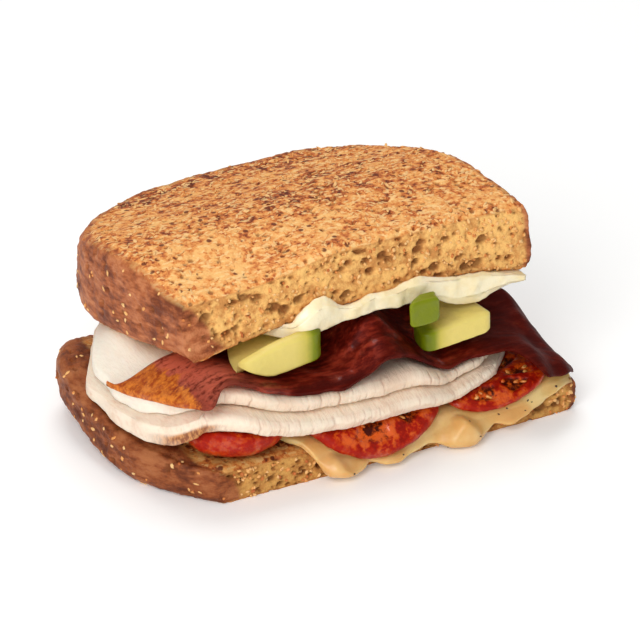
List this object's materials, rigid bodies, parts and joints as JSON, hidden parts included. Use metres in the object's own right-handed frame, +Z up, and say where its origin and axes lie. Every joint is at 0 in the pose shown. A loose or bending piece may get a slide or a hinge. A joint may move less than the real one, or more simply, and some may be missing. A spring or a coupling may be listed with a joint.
{
  "type": "turkey melt sandwich half",
  "caption": "Half of a toasted multigrain sandwich, cut across, with turkey, bacon, avocado, tomato, melted cheese and a white spread showing at the cut.",
  "frame": {"origin": "on the plane it rests on, under the middle of the cut half", "axes": "+Z up, +X along the cut edge, -Y out of the cut face"},
  "size_m": [0.1241, 0.0952, 0.0586],
  "materials": {
    "toasted_bread": "toasted multigrain bread, matt",
    "melted_cheese": "melted cheese, soft gloss",
    "cooked_tomato": "warm tomato, wet gloss",
    "roast_turkey": "sliced roast turkey, moist",
    "crisp_bacon": "fried bacon, glossy fat",
    "avocado_flesh": "ripe avocado, satin",
    "white_spread": "creamy white spread, soft gloss"
  },
  "bodies": {
    "root": {"bottom_slice": "toasted_bread", "top_slice": "toasted_bread", "melted_cheese": "melted_cheese", "tomato_left": "cooked_tomato", "tomato_middle": "cooked_tomato", "tomato_right": "cooked_tomato", "tomato_far_left": "cooked_tomato", "tomato_far_right": "cooked_tomato", "turkey_lower": "roast_turkey", "turkey_upper": "roast_turkey", "bacon_front": "crisp_bacon", "bacon_back": "crisp_bacon", "avocado_left": "avocado_flesh", "avocado_middle": "avocado_flesh", "avocado_right": "avocado_flesh", "white_spread": "white_spread"}
  },
  "joints": []
}
